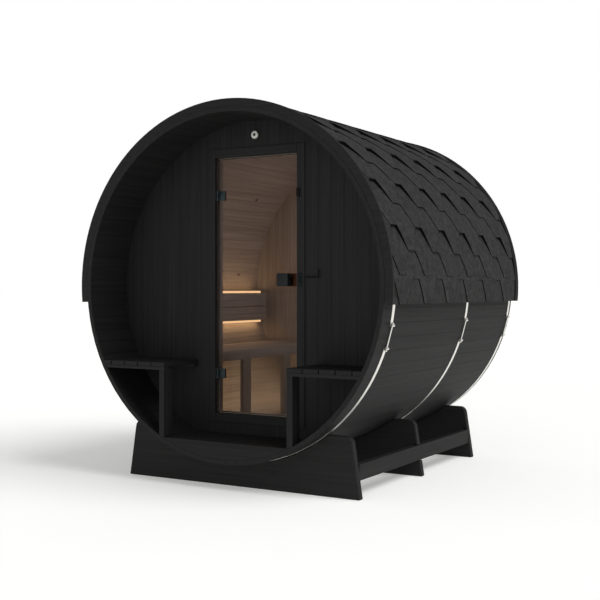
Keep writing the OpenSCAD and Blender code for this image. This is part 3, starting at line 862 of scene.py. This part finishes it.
# Boards side by side along X, standing or lying, each eased and set a hair apart
def boardRow(xFrom, xTo, pitch, gap, low, high, ease):
    boards = []
    x = xFrom
    while x < xTo - making["thinnestBoard"]:
        right = min(x + pitch, xTo) - gap / 2
        boards.append(addBoard((x + gap / 2, *low), (right, *high), ease, 1))
        x += pitch
    return boards


# Boards that fill the barrel: joined, cut round to the staves' inner face and finished
def fillBarrel(boards, name, wood, slot, seed, grain, nodes, **lining):
    piece = joinPieces(boards)
    trimToBarrel(piece, barrel["room"])
    dressBoards(piece, wood, seed, grain=grain, **lining)
    settle(piece, name, replaces=nodes)


# End walls: upright boards between the staves, with a V where they meet

wallBoards = {"pitch": (frameHigh.x - frameLow.x) / 8, "gap": 0.1 * mm, "ease": 1.1 * mm}


def buildFrontWall():
    pitch, gap, ease = (wallBoards[key] for key in ("pitch", "gap", "ease"))
    reach = barrel["room"]
    bottom, top = barrel["axis"] - reach, barrel["axis"] + reach
    edge = frameHigh.x
    count = math.ceil((reach - edge) / pitch)
    front, back = wallLow.y, wallHigh.y
    right = boardRow(edge, edge + count * pitch, pitch, gap, (front, bottom), (back, top), ease)
    left = boardRow(-edge - count * pitch, -edge, pitch, gap, (front, bottom), (back, top), ease)
    over = boardRow(-edge, edge, pitch, gap, (front, frameHigh.z), (back, top), ease)
    under = boardRow(-edge, edge, pitch, gap, (front, bottom), (back, frameLow.z), ease)
    fillBarrel(right + left + over + under, "frontWallBoards", blackSpruce, "black_stained_spruce", 41, "Z",
               ["front_wall_left", "front_wall_right", "front_wall_top", "front_wall_sill"],
               otherWood=naturalSpruce, inside=lambda face:
               face.calc_center_median().y > barrel["wallMiddle"] and face.normal.y > 0.3)
    print("front wall boarded")


def buildRearWall():
    pitch, gap, ease = (wallBoards[key] for key in ("pitch", "gap", "ease"))
    reach = barrel["room"]
    count = 2 * math.ceil(reach / pitch)
    boards = boardRow(-count / 2 * pitch, count / 2 * pitch, pitch, gap,
                      (rearLow.y, rearLow.z), (rearHigh.y, rearHigh.z), ease)
    fillBarrel(boards, "rearWallBoards", blackSpruce, "black_stained_spruce", 42, "Z", ["rear_wall"],
               otherWood=naturalSpruce, inside=lambda face:
               face.calc_center_median().y < barrel["rearMiddle"] and face.normal.y < -0.3)
    print("rear wall boarded")


buildFrontWall()
buildRearWall()


# Floors: boards from front to back, and the board that closes the porch floor

floorBoards = {"pitch": 95 * mm, "gap": 3 * mm, "ease": 2 * mm}


def buildFloor(node, wood, slot, seed):
    low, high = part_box(node)
    pitch = floorBoards["pitch"]
    count = 2 * math.ceil(high.x / pitch)
    boards = boardRow(-count / 2 * pitch, count / 2 * pitch, pitch, floorBoards["gap"],
                      (low.y, low.z), (high.y, high.z), floorBoards["ease"])
    fillBarrel(boards, node.split("_")[0] + "FloorBoards", wood, slot, seed, "Y", [node])


buildFloor("cabin_floor", naturalSpruce, "natural_spruce", 51)
buildFloor("porch_floor", blackSpruce, "black_stained_spruce", 52)
print("floors laid")


# Timber that keeps its CAD shape: planed arrises, and grain along each board

timber = {
    "cradleFront": {"node": "cradle_front", "ease": 6 * mm, "grain": "X"},
    "cradleMiddle": {"node": "cradle_middle", "ease": 6 * mm, "grain": "X"},
    "cradleRear": {"node": "cradle_rear", "ease": 6 * mm, "grain": "X"},
    "sideRails": {"node": "side_rails", "ease": 3 * mm, "grain": "Y"},
    "porchFascia": {"node": "porch_fascia", "ease": 1.5 * mm, "grain": "X"},
    "porchSeatLeft": {"node": "porch_seat_left", "ease": 3 * mm, "grain": "Y"},
    "porchSeatRight": {"node": "porch_seat_right", "ease": 3 * mm, "grain": "Y"},
    "porchPosts": {"node": "porch_posts", "ease": 2 * mm, "grain": "Z"},
    "porchBearers": {"node": "porch_bearers", "ease": 1.5 * mm, "grain": "X"},
}


def buildTimber(pieces, wood, seed):
    for i, (name, board) in enumerate(pieces.items()):
        piece = easedCopy(board["node"], board["ease"])
        dressBoards(piece, wood, seed + i, grain=board["grain"])
        settle(piece, name, replaces=[board["node"]])
    print("timber eased:", len(pieces))


buildTimber(timber, blackSpruce, 60)


# Doorway: stiles that run the full height, with the head and foot between them

doorway = {"frameEase": 2.5 * mm, "liningEase": 2 * mm, "gap": 0.3 * mm, "lip": 8 * mm}


def buildSurround(node, name, wood, opening, ease, seed):
    low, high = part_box(node)
    left, right, bottom, top = opening
    gap = doorway["gap"]
    boards = [
        addBoard(low, (left, high.y, high.z), ease),
        addBoard((right, low.y, low.z), high, ease),
        addBoard((left + gap, low.y, low.z), (right - gap, high.y, bottom), ease),
        addBoard((left + gap, low.y, top), (right - gap, high.y, high.z), ease),
    ]
    surround = joinPieces(boards)
    dressBoards(surround, wood, seed)
    settle(surround, name, replaces=[node])


def buildDoorway():
    glassLow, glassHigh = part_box("door_glass")
    side = glassLow.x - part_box("hinge_leaves")[0].x      # from the glass's edge to the frame's opening
    opening = (glassLow.x - side, glassHigh.x + side, glassLow.z - side, glassHigh.z + side)
    buildSurround("door_frame", "doorFrame", blackSpruce, opening,
                  doorway["frameEase"], 71)
    lip = doorway["lip"]
    inset = (opening[0] + lip, opening[1] - lip, opening[2] + lip, opening[3] - lip)
    buildSurround("door_lining", "doorLining", naturalSpruce, inset,
                  doorway["liningEase"], 72)
    print("doorway framed")


buildDoorway()


# Door: the glass with ground edges, its clamps, screws and handles

door = {"glassEase": 1 * mm, "blockEase": 3.5 * mm, "clampEase": 1 * mm, "leafEase": 0.4 * mm,
        "clampHeight": 60 * mm, "clampOut": 5 * mm, "screw": 6 * mm, "screwOut": 1.6 * mm, "screwShare": 0.42}


# A screw head facing -Y, with a round socket sunk into it
def addScrewHead(place, radius, out):
    bpy.ops.object.select_all(action="DESELECT")
    bpy.ops.mesh.primitive_cylinder_add(vertices=24, radius=radius, depth=out,
                                        location=(place[0], place[1] - out / 2, place[2]),
                                        rotation=(math.radians(90), 0, 0))
    screw = bpy.context.object
    applyPlace(screw)
    editPiece(screw)
    pick(screw, "FACE", lambda spot, face: face.normal.y < -0.9)
    bpy.ops.mesh.bevel(offset=0.12 * radius, segments=2, affect="EDGES")
    pick(screw, "FACE", lambda spot, face: face.normal.y < -0.99)
    bpy.ops.mesh.inset(thickness=0.42 * radius)
    pullOut((0, 0.8 * out, 0))
    leaveEdit()
    return screw


def buildDoor():
    glass = easedCopy("door_glass", door["glassEase"])
    shadeAll(glass, bronzeGlass)
    settle(glass, "doorGlass", body="door", replaces=["door_glass"])
    outer = easedCopy("handle_outer", door["blockEase"], 3)
    coat(outer, handleCoat)
    settle(outer, "handleOuter", body="door", replaces=["handle_outer"])
    inner = easedCopy("handle_inner", door["blockEase"], 3)
    dressBoards(inner, handleWood, 81, grain="X")
    smoothCurves(inner)
    settle(inner, "handleInner", body="door", replaces=["handle_inner"])
    clamps = easedCopy("hinge_clamps", door["clampEase"])
    coat(clamps, hingeSteel)
    settle(clamps, "hingeClamps", body="door", replaces=["hinge_clamps"])
    leaves = easedCopy("hinge_leaves", door["leafEase"], 1)
    coat(leaves, hingeSteel)
    settle(leaves, "hingeLeaves", replaces=["hinge_leaves"])
    clampLow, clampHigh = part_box("hinge_clamps")
    glassLow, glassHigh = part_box("door_glass")
    front = glassLow.y - door["clampOut"]
    across = clampHigh.x - door["screwShare"] * (clampHigh.x - glassLow.x)
    half = door["clampHeight"] / 2
    heads = joinPieces([addScrewHead((across, front, z), door["screw"], door["screwOut"])
                        for z in (clampLow.z + half, clampHigh.z - half)])
    coat(heads, blackCoat)
    settle(heads, "hingeScrews", body="door")
    print("door hung")


buildDoor()


# Small fittings round the door

fittings = {
    "strikePlate": {"node": "strike_plate", "ease": 0.8 * mm, "finish": plateSteel,
                    "slot": "stainless_steel"},
    "bumperClip": {"node": "bumper_clip", "ease": 1.2 * mm, "finish": forgedBlack, "slot": "black_metal"},
    "doorHook": {"node": "door_hook", "ease": 0.8 * mm, "finish": forgedBlack, "slot": "black_metal"},
}
strikeScrews = {"apart": 60 * mm, "radius": 4 * mm, "out": 1 * mm}
vent = {"rim": 5 * mm, "groove": 2 * mm, "sunk": 3 * mm, "dome": 2 * mm, "lip": 3 * mm, "hole": 10 * mm,
        "near": 0.5 * mm}


# Vent cap: a round plate, a groove and a raised valve disc with a hole in its middle
def buildVent():
    low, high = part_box("vent_cap")
    middle = (low + high) / 2
    radius = (high.x - low.x) / 2
    plate = (high.y - low.y) / 2           # the plate takes half the cap's depth, the disc the rest
    bpy.ops.object.select_all(action="DESELECT")
    bpy.ops.mesh.primitive_cylinder_add(vertices=64, radius=radius, depth=plate,
                                        location=(middle.x, high.y - plate / 2, middle.z),
                                        rotation=(math.radians(90), 0, 0))
    cap = bpy.context.object
    applyPlace(cap)
    editPiece(cap)
    pick(cap, "FACE", lambda spot, face: face.normal.y < -0.9)
    bpy.ops.mesh.inset(thickness=vent["rim"])
    pullOut((0, vent["sunk"], 0))
    bpy.ops.mesh.inset(thickness=vent["groove"])
    rise = vent["sunk"] + plate - vent["dome"]
    pullOut((0, -rise, 0))
    bpy.ops.mesh.inset(thickness=vent["lip"])
    bpy.ops.transform.translate(value=(0, -vent["dome"], 0))
    bpy.ops.mesh.inset(thickness=radius - vent["rim"] - vent["groove"] - vent["lip"] - vent["hole"])
    pullOut((0, vent["sunk"], 0))
    leaveEdit()
    coat(cap, ventPlastic, ventShadow)
    # Painted shade: the outer rim and the groove are coloured dark as a ring of shadow round the disc, and
    # the hole as the shade inside it
    for face in cap.data.polygons:
        off = math.hypot(face.center.x - middle.x, face.center.z - middle.z)
        inRim = off > radius - vent["rim"] - vent["groove"] + vent["near"]
        inHole = off < vent["hole"] + vent["near"] and face.center.y > low.y + vent["near"]
        face.material_index = 1 if inRim or inHole else 0
    settle(cap, "ventCap", replaces=["vent_cap"])


def buildFittings():
    for name, fitting in fittings.items():
        piece = easedCopy(fitting["node"], fitting["ease"])
        coat(piece, fitting["finish"])
        settle(piece, name, replaces=[fitting["node"]])
    low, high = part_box("strike_plate")
    middle = (low + high) / 2
    half = strikeScrews["apart"] / 2
    screws = joinPieces([addScrewHead((middle.x, low.y, z), strikeScrews["radius"], strikeScrews["out"])
                         for z in (middle.z - half, middle.z + half)])
    coat(screws, hingeSteel)
    settle(screws, "strikeScrews")
    buildVent()
    print("fittings fixed")


buildFittings()


# Cabin furniture: bench, its frame, backrest and lights

benchFrame = {"ease": 2 * mm, "railTop": 34 * mm, "leg": 32 * mm}
stripEase = 2 * mm
furniture = {
    "benchSeat": {"node": "bench_seat", "ease": 3 * mm, "grain": "Y"},
    "backrest": {"node": "backrest", "ease": 3 * mm, "grain": "Y"},
}


def buildFurniture():
    buildTimber(furniture, naturalSpruce, 90)
    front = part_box("bench_frame")[1].x
    supports = easedCopy("bench_frame", benchFrame["ease"])
    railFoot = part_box("bench_seat")[0].z - benchFrame["railTop"]
    # legs have upright grain, the rail and the cleats run with the bench
    dressBoards(supports, naturalSpruce, 95, grain="Y")
    upright = supports.data.materials.find(naturalSpruce["Z"].name)
    for face in supports.data.polygons:
        if face.center.z < railFoot and face.center.x > front - benchFrame["leg"]:
            face.material_index = upright
    settle(supports, "benchFrame", replaces=["bench_frame"])
    strips = easedCopy("light_strips", stripEase)
    shadeAll(strips, stripLight)
    settle(strips, "lightStrips", replaces=["light_strips"])
    print("cabin furnished")


buildFurniture()


# Hoops keep their CAD shape and take a bright steel
for hoop in ("hoop_front", "hoop_middle", "hoop_rear"):
    shadeAll(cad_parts[hoop], hoopSteel)
print("hoops finished")
